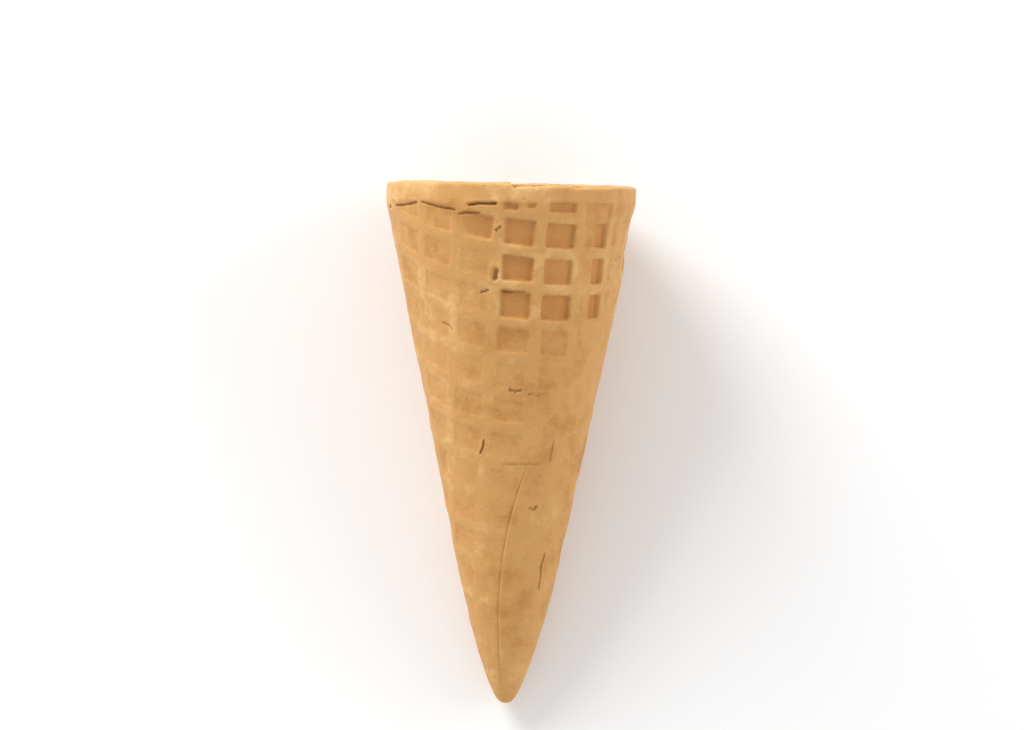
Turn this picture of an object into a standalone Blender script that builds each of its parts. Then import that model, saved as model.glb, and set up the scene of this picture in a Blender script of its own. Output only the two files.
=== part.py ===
"""An empty rolled sugar cone, lying on its side with its mouth toward +Y.

A waffled sheet is rolled once round and its outer end lies over the start, so the
outside steps down at the lap edge, and the hollow steps out at the sheet's inner end.
Metres, +Z up. The underside has a narrow level foot that rests at z = 0.

Places on the cone are given by two values: along, the distance from the rim plane
toward the tip, and angle, zero on the upper side and positive toward +X.
"""

import math

import bmesh
import bpy
from mathutils import Vector

# Overall form
MOUTH_RADIUS = 0.027
CONE_LENGTH = 0.1125
BAND_HEIGHT = 0.0035  # plain rim above the pockets
TAPER = 0.2045  # radius lost for each unit of length
BAND_EASE = 0.0001  # the taper's start is this much outside the band, so they blend
TIP_ROUND_LENGTH = 0.0325
TIP_ROUND_POWER = 2.6
RIM_ROUND = 0.0004

# The rolled sheet
WALL = 0.0021
TIP_SOLID_LENGTH = 0.0125
LAP_STEP = 0.0009
LAP_EDGE_AT_TIP = math.radians(-15)
LAP_EDGE_SWEEP = math.radians(160)
LAP_EDGE_POWER = 2.2
LAP_OVERLAP = math.radians(80)
LAP_MIDDLE = math.radians(50)  # where the columns of points opposite the lap edge run straight
STEP_SHARE = 0.003  # the step's own width, as a share of a turn

# The waffle pattern, on the sheet laid flat
PITCH_ACROSS = 0.0092
PITCH_ALONG = 0.00775
RIB_WIDTH = 0.0023
FIRST_RIB_ALONG = 0.0070
PATTERN_TURN = math.radians(14.3)
ROW_TILT = math.radians(4.35)  # the cross ribs are this far from square to the others
OPEN_DEPTH = 0.0010
PRESSED_DEPTH = 0.0005
POCKET_DRAFT = 0.0005
SHORTEST_POCKET = 0.0015
POCKETS_END = 0.084
LAP_PRESSED = math.radians(50)  # the sheet's outer end is pressed plain over this much of a turn
OPEN_LENGTH = 0.029
OPEN_SECTORS = ((math.radians(-8), math.radians(66)), (math.radians(-165), math.radians(-120)))

# The foot: a level four-cornered flat, with edges that rise a little all round it
FLAT_DEPTH = 0.0009
FOOT_X = 0.0003
FOOT_ENDS = ((-0.032, 0.0024), (0.052, 0.0055))  # (y, half the width) toward the tip and the mouth
FOOT_SPREAD = 12.0  # the rising edges' outline, this many times the foot's own
FOOT_RISE = 0.006
PLAIN_HALF_WIDTH = 0.0090  # no pocket is cut this near the foot's middle

# Fineness
COLUMNS = 48
STRAIGHT_RINGS = 15
RING_CROWDING = 1.4  # above 1 it draws the rings toward the mouth
ROUND_RINGS = 9
CUTTER_MARGIN = 0.004

LEAN = math.atan(TAPER)
SHEET_APEX_ALONG = BAND_HEIGHT + (MOUTH_RADIUS + BAND_EASE) / TAPER
FULL_TURN = 2 * math.pi


def clear_scene():
    """Remove every object, so that the script gives the same scene each time."""
    for old in list(bpy.data.objects):
        bpy.data.objects.remove(old, do_unlink=True)


def new_collection(name):
    """A collection of this name under the scene's own."""
    collection = bpy.data.collections.new(name)
    bpy.context.scene.collection.children.link(collection)
    return collection


def wafer_material():
    """Baked wafer: warm tan, matte."""
    material = bpy.data.materials.new("baked_wafer")
    material.use_nodes = True
    shader = material.node_tree.nodes["Principled BSDF"]
    shader.inputs["Base Color"].default_value = (0.61, 0.36, 0.16, 1.0)
    shader.inputs["Roughness"].default_value = 0.62
    shader.inputs["Metallic"].default_value = 0.0
    material.diffuse_color = (0.61, 0.36, 0.16, 1.0)
    return material


def blunt_factor(along, end):
    """How much the radius is drawn in near a blunt end: 1 before the rounding and 0 at the end."""
    start = end - TIP_ROUND_LENGTH
    if along <= start:
        return 1.0
    share = min(1.0, (along - start) / TIP_ROUND_LENGTH)
    return (1.0 - share**TIP_ROUND_POWER) ** (1.0 / TIP_ROUND_POWER)


def cone_radius(along, inset, end):
    """Radius of the band and the taper, set in by the given amount and closed at the end."""
    taper = MOUTH_RADIUS + BAND_EASE - TAPER * (along - BAND_HEIGHT)
    return (min(MOUTH_RADIUS, taper) - inset) * blunt_factor(along, end)


def lap_edge_angle(along):
    """Angle of the sheet's outer end, which sweeps round from low on the right to the front."""
    share = max(0.0, 1.0 - along / CONE_LENGTH)
    return LAP_EDGE_AT_TIP + LAP_EDGE_SWEEP * share**LAP_EDGE_POWER


def lap_lift(share, along):
    """Height of the spiral: half a step up at the lap edge, and half a step down a turn later."""
    fade = min(1.0, max(0.0, (CONE_LENGTH - along) / TIP_ROUND_LENGTH))
    return LAP_STEP * fade * (0.5 - share % 1.0)


def on_cone(along, angle, radius):
    """Point in the cone's own frame: its rim plane is y = 0 and its tip lies toward -Y."""
    return Vector((radius * math.sin(angle), -along, radius * math.cos(angle)))


def stations(end):
    """Places along the axis for the rings below the band. They are closer together near the
    mouth, where the lap edge sweeps round fastest, and where the tip rounds in."""
    straight_end = end - TIP_ROUND_LENGTH
    straight = [
        BAND_HEIGHT + (straight_end - BAND_HEIGHT) * (i / STRAIGHT_RINGS) ** RING_CROWDING
        for i in range(STRAIGHT_RINGS)
    ]
    rounded = [
        straight_end + TIP_ROUND_LENGTH * math.sin(math.pi / 2 * i / ROUND_RINGS)
        for i in range(ROUND_RINGS + 1)
    ]
    return straight + rounded


def rolled_body(name, rings, radius_of, edge_of):
    """A closed body from rings of points, each ring one turn of the spiral from its lap edge.

    The columns of points beside the lap edge follow it, and those opposite run straight.
    """
    shares = [i / COLUMNS for i in range(COLUMNS)] + [1.0 - STEP_SHARE, 1.0]
    shape = bmesh.new()
    bmesh.ops.create_grid(shape, x_segments=len(shares) - 1, y_segments=len(rings) - 1, size=0.5)
    for vert in shape.verts:
        share = shares[round((vert.co.x + 0.5) * (len(shares) - 1))]
        along = rings[round((vert.co.y + 0.5) * (len(rings) - 1))]
        radius = radius_of(along)
        edge = edge_of(along)
        straight = LAP_MIDDLE + edge - lap_edge_angle(along)
        lag = (straight - edge) * (1.0 - abs(1.0 - 2.0 * share))
        if radius > 1e-6:
            radius += lap_lift(share + lag / FULL_TURN, along)
        vert.co = on_cone(along, edge + FULL_TURN * share + lag, radius)
    bmesh.ops.remove_doubles(shape, verts=shape.verts, dist=1e-6)
    rim = [edge for edge in shape.edges if edge.is_boundary]
    bmesh.ops.holes_fill(shape, edges=rim)
    return finished_object(name, shape)


def finished_object(name, shape):
    """The bmesh as an object with its faces outward, shaded smooth across soft edges."""
    bmesh.ops.recalc_face_normals(shape, faces=shape.faces)
    mesh = bpy.data.meshes.new(name)
    shape.to_mesh(mesh)
    shape.free()
    mesh.shade_smooth()
    mesh.set_sharp_from_angle(angle=math.radians(35))
    return bpy.data.objects.new(name, mesh)


def outer_body():
    """The outside of the cone, solid, with its rim edge eased."""
    rings = [0.0, RIM_ROUND] + stations(CONE_LENGTH)

    def radius_of(along):
        ease = RIM_ROUND if along == 0.0 else 0.0
        return cone_radius(along, ease, CONE_LENGTH)

    return rolled_body("wafer_cone", rings, radius_of, lap_edge_angle)


def hollow_cutter():
    """The inside of the cone, which runs out past the rim."""
    end = CONE_LENGTH - TIP_SOLID_LENGTH
    rings = [-CUTTER_MARGIN] + stations(end)

    def radius_of(along):
        return cone_radius(along, WALL, end)

    def edge_of(along):
        return lap_edge_angle(along) + LAP_OVERLAP

    return rolled_body("hollow_cutter", rings, radius_of, edge_of)


def from_sheet(across, level):
    """The along and angle of a point on the sheet laid flat.

    The flat sheet's apex is the zero point, and its zero line is the generator that the
    ribs run beside. Level is the distance from the apex, measured square to the cross
    ribs. The angle counts on past half a turn, as the sheet does.
    """
    down = (level - across * math.sin(ROW_TILT)) / math.cos(ROW_TILT)
    reach = math.hypot(across, down)
    turn = math.atan2(across, down) / math.sin(LEAN)
    return SHEET_APEX_ALONG - reach * math.cos(LEAN), turn + PATTERN_TURN


def wrapped(angle):
    """The same angle between minus half a turn and half a turn."""
    return (angle + math.pi) % FULL_TURN - math.pi


def pocket_depth(along, angle):
    """Pockets are open near the rim in the open sectors, and pressed almost flush elsewhere."""
    opened = any(low < wrapped(angle) < high for low, high in OPEN_SECTORS)
    return OPEN_DEPTH if opened and along < OPEN_LENGTH else PRESSED_DEPTH


def pocket_fits(corners):
    """Whether a pocket with these (along, angle) corners lies on the sheet, clear of its ends, the
    tip and the foot. The sheet runs from a full turn before the lap edge to the lap edge. The
    band cuts off only pockets that lie nearly square to it."""
    ends = sorted(along for along, _ in corners)
    cut_off = sum(along < BAND_HEIGHT + POCKET_DRAFT for along in ends)
    square = ends[1] - ends[0] < SHORTEST_POCKET < ends[2] - BAND_HEIGHT
    if not (cut_off == 0 or cut_off == 2 and square) or ends[3] > POCKETS_END:
        return False
    for along, angle in corners:
        radius = cone_radius(max(0.0, along), 0.0, CONE_LENGTH)
        if (math.pi - abs(wrapped(angle))) * radius < PLAIN_HALF_WIDTH:
            return False
        before_edge = lap_edge_angle(along) - angle
        if before_edge * radius < RIB_WIDTH / 2 or before_edge > FULL_TURN - LAP_PRESSED:
            return False
    return True


def add_pocket(shape, across, level):
    """Add one pocket's cutter, centred on this place of the flat sheet, if it fits there."""
    half_across = (PITCH_ACROSS - RIB_WIDTH) / 2
    half_along = (PITCH_ALONG - RIB_WIDTH) / 2
    corners = [
        from_sheet(across + i * half_across, level + j * half_along)
        for i in (-1, 1)
        for j in (-1, 1)
    ]
    if not pocket_fits(corners):
        return
    depth = pocket_depth(*from_sheet(across, level))
    floor = bmesh.ops.create_grid(shape, x_segments=2, y_segments=1, size=1.0)["verts"]
    faces = list({face for vert in floor for face in vert.link_faces})
    raised = bmesh.ops.extrude_face_region(shape, geom=faces, use_keep_orig=True)["geom"]
    top = [item for item in raised if isinstance(item, bmesh.types.BMVert)]
    for verts, draft, height in ((floor, POCKET_DRAFT, -depth), (top, 0.0, CUTTER_MARGIN / 4)):
        for vert in verts:
            along, angle = from_sheet(
                across + vert.co.x * (half_across - draft),
                level + vert.co.y * (half_along - draft),
            )
            along = max(along, BAND_HEIGHT + draft)
            share = (angle - lap_edge_angle(along)) / FULL_TURN
            surface = cone_radius(along, 0.0, CONE_LENGTH) + lap_lift(share, along)
            vert.co = on_cone(along, angle, surface + height)


def pocket_cutters():
    """All the pockets in one object, in rows and columns of the flat sheet's pattern."""
    shape = bmesh.new()
    first_rib = (SHEET_APEX_ALONG - FIRST_RIB_ALONG) / math.cos(LEAN)
    columns = math.ceil(first_rib / PITCH_ACROSS) + 1
    rows = math.ceil(first_rib / PITCH_ALONG)
    for column in range(-columns, columns):
        for row in range(-1, rows):
            add_pocket(shape, (column + 0.5) * PITCH_ACROSS, first_rib - (row + 0.5) * PITCH_ALONG)
    return finished_object("pocket_cutters", shape)


def foot_cutter():
    """A block under the cone with a shallow dish in its top, whose level floor cuts the foot."""
    shape = bmesh.new()
    bmesh.ops.create_grid(shape, x_segments=1, y_segments=1, size=0.5)
    for vert in shape.verts:
        y, half_width = FOOT_ENDS[vert.co.y > 0.0]
        vert.co = (FOOT_X + math.copysign(half_width, vert.co.x), y, 0.0)
    middle = Vector((FOOT_X, sum(y for y, _ in FOOT_ENDS) / 2, 0.0))
    rising = bmesh.ops.extrude_edge_only(shape, edges=list(shape.edges))["geom"]
    for vert in (item for item in rising if isinstance(item, bmesh.types.BMVert)):
        vert.co = middle + FOOT_SPREAD * (vert.co - middle) + Vector((0.0, 0.0, FOOT_RISE))
    lower = bmesh.ops.extrude_face_region(shape, geom=list(shape.faces), use_keep_orig=True)["geom"]
    bottom = [item for item in lower if isinstance(item, bmesh.types.BMVert)]
    bmesh.ops.translate(shape, verts=bottom, vec=(0.0, 0.0, -CONE_LENGTH))
    return finished_object("foot_cutter", shape)


def cut_with(body, cutter, collection):
    """Cut the body with this object, which is kept as a hidden guide."""
    collection.objects.link(cutter)
    cutter.hide_render = True
    cutter.display_type = "WIRE"
    cut = body.modifiers.new(cutter.name, "BOOLEAN")
    cut.operation = "DIFFERENCE"
    cut.solver = "EXACT"
    cut.object = cutter


def lay_down(axis):
    """Lean the axis so that the lowest line is level, just under z = 0."""
    widest = MOUTH_RADIUS + LAP_STEP / 2
    axis.rotation_euler = (LEAN, 0.0, 0.0)
    lowest = -BAND_HEIGHT * math.sin(LEAN) - widest * math.cos(LEAN)
    axis.location = (0.0, 0.0, -lowest - FLAT_DEPTH)


def centre_on_origin(axis, body):
    """Slide the cone level, so that the origin is below the middle of its box."""
    bpy.context.view_layer.update()
    evaluated = body.evaluated_get(bpy.context.evaluated_depsgraph_get())
    points = [evaluated.matrix_world @ vert.co for vert in evaluated.data.vertices]
    for row in (0, 1):
        values = [point[row] for point in points]
        axis.location[row] -= (min(values) + max(values)) / 2


def main():
    """Build the cone and its cutters."""
    clear_scene()
    parts = new_collection("sugar_cone")
    cutters = new_collection("cutters")
    axis = bpy.data.objects.new("cone_axis", None)
    parts.objects.link(axis)
    cone = outer_body()
    parts.objects.link(cone)
    cone.data.materials.append(wafer_material())
    hollow = hollow_cutter()
    pockets = pocket_cutters()
    for child in (cone, hollow, pockets):
        child.parent = axis
    for cutter in (hollow, pockets, foot_cutter()):
        cut_with(cone, cutter, cutters)
    lay_down(axis)
    centre_on_origin(axis, cone)


if __name__ == "__main__":
    main()
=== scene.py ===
"""Looks of an empty rolled sugar cone that lies on its side.

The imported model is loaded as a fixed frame. One piece stands for the whole cone: a
finely divided sheet of wafer, rolled round the same form, with the waffle pattern, the
plain rim, the lap of the sheet, the cracks and the pores of the baked batter.

Places on the cone are given by two values, as arrays: along, the distance in metres
from the rim plane toward the tip, and angle, in radians, zero on the upper side and
positive toward +X.
"""

import logging
import math
from dataclasses import dataclass, field
from enum import Enum

import bmesh
import bpy
import numpy as np
from mathutils import Euler, Matrix, Vector

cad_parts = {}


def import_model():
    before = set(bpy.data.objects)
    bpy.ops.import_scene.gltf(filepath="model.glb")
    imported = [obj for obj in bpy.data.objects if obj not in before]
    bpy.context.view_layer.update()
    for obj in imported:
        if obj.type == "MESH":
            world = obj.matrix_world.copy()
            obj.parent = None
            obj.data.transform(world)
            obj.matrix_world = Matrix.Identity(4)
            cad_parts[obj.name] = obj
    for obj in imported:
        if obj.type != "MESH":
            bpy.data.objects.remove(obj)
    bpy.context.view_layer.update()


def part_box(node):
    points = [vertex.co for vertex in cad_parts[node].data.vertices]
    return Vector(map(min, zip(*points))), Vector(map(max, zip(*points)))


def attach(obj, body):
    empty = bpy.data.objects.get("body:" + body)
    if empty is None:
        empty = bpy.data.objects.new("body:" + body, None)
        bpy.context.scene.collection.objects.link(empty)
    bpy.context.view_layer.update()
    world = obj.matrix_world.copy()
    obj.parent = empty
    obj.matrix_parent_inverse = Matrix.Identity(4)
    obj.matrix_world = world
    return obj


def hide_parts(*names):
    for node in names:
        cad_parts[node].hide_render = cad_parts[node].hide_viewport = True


LOG = logging.getLogger("sugar_cone")
MM = 0.001
FULL_TURN = 2.0 * math.pi
NODE = "wafer_cone"

Array = np.ndarray
Span = tuple[float, float]
Colour = tuple[float, float, float, float]


# ---------------------------------------------------------------- small helpers


def eased(low: float | Array, high: float | Array, value: Array) -> Array:
    """Ease from 0 at low to 1 at high.

    Args:
        low: Value where the result leaves 0.
        high: Value where the result reaches 1. It may be below low.
        value: Values to ease.

    Returns:
        An array between 0 and 1.
    """
    share = np.clip((value - low) / (high - low), 0.0, 1.0)
    return share * share * (3.0 - 2.0 * share)


def bump_of(distance: Array, width: float) -> Array:
    """Bell curve of a distance: 1 at zero, near 0 past the width."""
    return np.exp(-np.square(distance / width))


def wrapped(angle: Array) -> Array:
    """The same angles between minus half a turn and half a turn."""
    return (angle + math.pi) % FULL_TURN - math.pi


class SoftNoise:
    """Smooth seeded values between -1 and 1 on a lattice in space."""

    SIDE = 32

    def __init__(self, cell: float, seed: int) -> None:
        """Make the lattice.

        Args:
            cell: Distance between lattice points, in metres.
            seed: Seed of the values.
        """
        self.cell = cell
        self.values = np.random.default_rng(seed).uniform(-1.0, 1.0, (self.SIDE,) * 3)

    def at(self, points: Array) -> Array:
        """Read the values.

        Args:
            points: Places as rows of three coordinates.

        Returns:
            One value for each row.
        """
        place = points / self.cell
        base = np.floor(place).astype(np.int64)
        part = place - base
        part = part * part * (3.0 - 2.0 * part)
        total = np.zeros(len(points))
        for corner in np.ndindex(2, 2, 2):
            index = (base + corner) % self.SIDE
            weight = np.prod(np.where(corner, part, 1.0 - part), axis=1)
            total += weight * self.values[index[:, 0], index[:, 1], index[:, 2]]
        return total


# ---------------------------------------------------------------- the cone's form


@dataclass(frozen=True)
class ConeForm:
    """Sizes of the rolled cone, the same as the frame's, and where it lies."""

    mouth_radius: float = 27.0 * MM
    length: float = 112.5 * MM
    band_height: float = 3.5 * MM
    band_ease: float = 0.1 * MM
    taper: float = 0.2045
    round_length: float = 32.5 * MM
    round_power: float = 2.6
    wall: float = 2.1 * MM
    tip_solid: float = 12.5 * MM
    lap_step: float = 0.9 * MM
    lap_at_tip: float = math.radians(-15.0)
    lap_sweep: float = math.radians(160.0)
    lap_power: float = 2.2
    lap_overlap: float = math.radians(80.0)
    flat_depth: float = 0.9 * MM
    rim_round: float = 0.4 * MM
    right_drop: float = 0.35  # of a step: how far the spiral has come down at the rim's right

    @property
    def lean(self) -> float:
        """Angle between the axis and the table."""
        return math.atan(self.taper)

    @property
    def apex_along(self) -> float:
        """Where the taper would meet the axis."""
        return self.band_height + (self.mouth_radius + self.band_ease) / self.taper

    def radius(self, along: Array, inset: float, end: float) -> Array:
        """Radius of a surface of the cone before the spiral is added.

        Args:
            along: Distances from the rim plane.
            inset: How far the surface lies inside the outside.
            end: Where it closes.

        Returns:
            Radii in metres.
        """
        straight = self.mouth_radius + self.band_ease - self.taper * (along - self.band_height)
        share = np.clip((along - end + self.round_length) / self.round_length, 0.0, 1.0)
        blunt = (1.0 - share**self.round_power) ** (1.0 / self.round_power)
        return (np.minimum(self.mouth_radius, straight) - inset) * blunt

    def outer_radius(self, along: float) -> float:
        """Radius of the smooth outside at one distance from the rim plane."""
        return float(self.radius(np.array([along]), 0.0, self.length)[0])

    def lap_edge(self, along: Array) -> Array:
        """Angle of the sheet's outer end at these distances."""
        share = np.clip(1.0 - along / self.length, 0.0, 1.0)
        return self.lap_at_tip + self.lap_sweep * share**self.lap_power

    def step(self, along: Array) -> Array:
        """Height of the spiral's step, which fades into the tip."""
        return self.lap_step * np.clip((self.length - along) / self.round_length, 0.0, 1.0)

    def placement(self) -> Matrix:
        """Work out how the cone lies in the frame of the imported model.

        Returns:
            A matrix that leans the axis and sets its lowest line on the table.
        """
        highest = Vector(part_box(NODE)[1])
        widest = self.mouth_radius + self.lap_step / 2.0
        up = self.band_height * math.sin(self.lean) + widest * math.cos(self.lean) - self.flat_depth
        front = highest.y - (self.mouth_radius - self.rim_round) * math.sin(self.lean)
        right = highest.x - self.mouth_radius + self.lap_step * self.right_drop
        turn = Euler((self.lean, 0.0, 0.0)).to_matrix().to_4x4()
        return Matrix.Translation((right, front, up)) @ turn


# ---------------------------------------------------------------- the sheet's relief


@dataclass(frozen=True)
class Crack:
    """A dark split in the baked sheet, along a short line of places."""

    places: tuple[Span, ...]  # (angle in degrees, along in millimetres)
    width: float = 0.20 * MM
    depth: float = 0.40 * MM
    dark: float = 0.9
    lip: float = 0.06 * MM  # height of the swollen edge beside it
    lip_place: float = 2.1  # how far off the line the edge is highest, in widths
    lip_width: float = 0.9  # in widths
    ragged: float = 0.25  # of the width
    sharpness: int = 4


@dataclass(frozen=True)
class Dent:
    """A pocket that the rim or the lap has partly closed."""

    turns: Span  # in degrees
    alongs: Span  # in millimetres
    depth: float
    brown: float = 0.8


CRACKS = (
    Crack(((-77.5, 5.3), (-74.0, 5.0)), width=0.36 * MM),
    Crack(((-66.0, 4.85), (-60.0, 4.75), (-54.0, 4.5), (-48.6, 4.1)), width=0.24 * MM),
    Crack(((-44.6, 4.0), (-40.0, 4.5), (-33.0, 5.1), (-26.7, 5.4)), width=0.24 * MM, dark=0.8),
    Crack(((-24.4, 6.3), (-22.0, 6.0), (-15.0, 5.95)), width=0.24 * MM, dark=0.7),
    Crack(((-19.6, 4.35), (-15.0, 4.1), (-7.2, 4.05)), width=0.32 * MM, depth=0.6 * MM, dark=1.0),
    Crack(((-7.6, 18.1), (-8.0, 19.5)), width=0.56 * MM, depth=0.7 * MM, dark=0.62, lip=0.3 * MM),
    Crack(((-7.6, 9.7), (-5.2, 8.8)), width=0.22 * MM, dark=0.75, lip=0.1 * MM),
    Crack(((-15.8, 22.7), (-12.0, 22.2)), width=0.24 * MM, dark=0.75),
    Crack(((-42.0, 29.4), (-38.0, 29.9), (-35.5, 30.8)), width=0.2 * MM, dark=0.35),
    Crack(((-4.8, 22.3), (1.5, 22.5), (7.4, 22.5)), width=0.24 * MM, dark=0.6),
    Crack(((0.2, 43.4), (4.0, 43.8), (7.4, 43.5)), width=0.22 * MM, dark=0.85),
    Crack(((13.0, 44.3), (20.0, 44.6)), width=0.20 * MM, depth=0.2 * MM, dark=0.4),
    Crack(((-22.8, 57.3), (-20.2, 56.0), (-18.9, 54.4)), width=0.20 * MM, dark=0.8),
    Crack(((-5.0, 59.6), (8.0, 59.3), (22.0, 59.4)), width=0.19 * MM, depth=0.15 * MM, dark=0.38),
    Crack(((19.0, 69.0), (24.0, 69.2), (25.5, 68.4)), width=0.2 * MM, dark=0.5),
    Crack(((34.0, 54.5), (33.0, 58.6)), width=0.14 * MM, depth=0.2 * MM, dark=0.35),
    Crack(((42.5, 79.0), (40.0, 82.0), (42.0, 84.0), (41.0, 86.8)), width=0.18 * MM, dark=0.65),
    Crack(((128.0, 21.0), (129.5, 22.6), (131.0, 24.5)), dark=0.7),
    Crack(((-128.0, 44.0), (-121.0, 45.0)), width=0.18 * MM, dark=0.7),
    Crack(((-150.0, 12.6), (-144.0, 13.0)), dark=0.8),
    Crack(((-104.0, 4.4), (-96.0, 4.9), (-90.0, 4.6)), dark=0.8),
    Crack(((158.0, 37.0), (150.0, 36.2)), width=0.18 * MM, dark=0.6),
    Crack(((112.0, 52.0), (118.0, 55.0)), width=0.18 * MM, dark=0.6),
    Crack(((-95.0, 66.0), (-92.0, 69.5)), width=0.16 * MM, dark=0.6),
    Crack(((170.0, 4.2), (158.0, 4.6), (149.0, 4.1)), dark=0.8),
)
DENTS = (
    Dent((-3.6, 3.2), (3.7, 5.3), 0.75 * MM, 1.0),
    Dent((6.4, 10.8), (3.7, 4.9), 0.6 * MM),
    Dent((17.2, 31.0), (3.6, 5.7), 0.7 * MM, 1.0),
    Dent((36.0, 53.0), (3.6, 8.7), 0.4 * MM, 0.45),
    Dent((-98.0, -86.0), (7.2, 12.0), 0.4 * MM, 0.3),
    Dent((80.0, 93.0), (7.4, 8.6), 0.5 * MM, 0.3),
    Dent((-140.0, -124.0), (3.7, 5.0), 0.6 * MM, 0.8),
    Dent((-118.0, -104.0), (3.7, 4.8), 0.5 * MM, 0.7),
)


@dataclass(frozen=True)
class OpenPockets:
    """Where the sheet lies free of the press, so that its pockets stay open.

    Spans without a unit are in columns or rows of the pattern.
    """

    front_half: float = 1.6  # in radians
    front_end: float = 29.5 * MM
    front_start: Span = (-0.05, 0.02)
    front_stop: Span = (3.3, 2.9)
    slot_column: int = 2
    slot: Span = (2.42, 2.62)  # this column is pressed shut up to here
    beside: tuple[tuple[int, Span, float], ...] = ((-1, (-0.9, -0.2), 0.62), (-2, (-1.9, -1.2), 0.22))
    last_row: int = 3
    last_row_stop: Span = (2.05, 1.95)
    last_row_open: float = 0.2
    back_edges: tuple[Span, Span] = (
        (math.radians(168.0), math.radians(150.0)),
        (math.radians(98.0), math.radians(112.0)),
    )
    back_end: float = 24.0 * MM
    back_open: float = 0.85

    def openness(self, along: Array, angle: Array, column: Array, row: Array) -> Array:
        """How open the pockets are: 1 where the sheet lies free, 0 where it was pressed flush.

        Args:
            along: Distances from the rim plane.
            angle: Angles round the axis.
            column: Columns of the pattern.
            row: Rows of the pattern.

        Returns:
            An array between 0 and 1.
        """
        turn = np.abs(wrapped(angle))
        shown = (turn < self.front_half) * (along < self.front_end) * (row > 0.0)
        starts = eased(*self.front_start, column)
        total = shown * starts * eased(*self.front_stop, column)
        total = total * np.where(np.floor(column) == self.slot_column, eased(*self.slot, column), 1.0)
        for number, opens, share in self.beside:
            first_row = (np.floor(column) == number) * (row < 1.0)
            total = total + shown * first_row * eased(*opens, column) * share
        last = (np.floor(row) == self.last_row) * starts * eased(*self.last_row_stop, column)
        back = (row > 0.0) * (along < self.back_end)
        for edge in self.back_edges:
            back = back * eased(*edge, turn)
        return np.clip(total + self.last_row_open * last + self.back_open * back, 0.0, 1.0)


@dataclass(frozen=True)
class WafflePattern:
    """The grid of ribs and pockets, laid out on the sheet before it is rolled.

    Turns count along the sheet: they end at the lap edge, and start a full turn before it.
    Columns and rows are counted in pitches, with ribs at whole numbers.
    """

    form: ConeForm
    pockets: OpenPockets = OpenPockets()
    pitch_across: float = 9.2 * MM
    pitch_along: float = 7.75 * MM
    first_rib: float = 7.0 * MM
    turn: float = math.radians(14.3)
    turn_column: float = 1.0  # the column that starts at this turn
    row_tilt: float = math.radians(4.35)  # the cross ribs are this far from square to the others
    rib_width: float = 2.0 * MM
    slope: float = 0.5 * MM
    corner: float = 0.75 * MM
    odd_across: float = 0.12 * MM
    odd_along: float = 0.10 * MM
    open_depth: float = 1.0 * MM
    pressed_depth: float = 0.13 * MM
    crown: float = 0.09 * MM
    crown_width: float = 0.9 * MM
    scatter: tuple[float, float, float] = (127.1, 311.7, 43758.5453)  # column, row and spread

    def flat_places(self, along: Array, turn: Array) -> tuple[Array, Array]:
        """Lay places of the cone on the flat sheet.

        Args:
            along: Distances from the rim plane.
            turn: Turns along the sheet.

        Returns:
            The columns and rows of the pattern.
        """
        reach = (self.form.apex_along - along) / math.cos(self.form.lean)
        swing = (turn - self.turn) * math.sin(self.form.lean)
        start = (self.form.apex_along - self.first_rib) / math.cos(self.form.lean)
        column = reach * np.sin(swing) / self.pitch_across + self.turn_column
        row = (start - reach * np.cos(swing - self.row_tilt)) / self.pitch_along
        return column, row

    def variation(self, column: Array, row: Array) -> Array:
        """Give each pocket a fixed odd value.

        Args:
            column: Columns of the pattern.
            row: Rows of the pattern.

        Returns:
            Values between -1 and 1.
        """
        by_column, by_row, spread = self.scatter
        mixed = np.sin(np.floor(column) * by_column + np.floor(row) * by_row) * spread
        return 2.0 * (mixed - np.floor(mixed)) - 1.0

    def gaps(self, column: Array, row: Array) -> Array:
        """Measure how far places lie from the pockets' edges.

        Args:
            column: Columns of the pattern.
            row: Rows of the pattern.

        Returns:
            Distances outside the edge of the nearest pocket, below zero inside it.
        """
        odd = self.variation(column, row)
        half_across = (self.pitch_across - self.rib_width) / 2.0 - self.corner + self.odd_across * odd
        half_along = (self.pitch_along - self.rib_width) / 2.0 - self.corner - self.odd_along * odd
        side = np.abs(column - np.floor(column) - 0.5) * self.pitch_across - half_across
        end = np.abs(row - np.floor(row) - 0.5) * self.pitch_along - half_along
        outside = np.hypot(np.maximum(side, 0.0), np.maximum(end, 0.0))
        return outside + np.minimum(np.maximum(side, end), 0.0) - self.corner


@dataclass(frozen=True)
class Relief:
    """What lies on a surface: heights above it and masks for its colour."""

    height: Array
    floor: Array
    crack: Array
    toast_and_painted_light: Array


@dataclass(frozen=True)
class BakeTones:
    """How strongly each term browns the wafer, or makes it paler; two terms paint light, on the band's
    left and on ribs beside open pockets.
    """

    patch: float = 0.30
    slow: float = 0.26
    middle: float = 0.14
    fine: float = 0.10
    side: float = 0.20
    side_turn: float = 0.55
    # the band paler toward its left: its own paler tone, with painted light where the light falls from
    # the left
    band_pale_and_painted_light: float = 0.42
    band_pale_and_painted_light_span: Span = (0.75, -0.3)
    pocket: float = 0.07
    pale_rib: float = 0.15
    # painted highlight: ribs beside open pockets are made paler still, where light catches them
    painted_highlight_open_rib: float = 0.21


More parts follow.
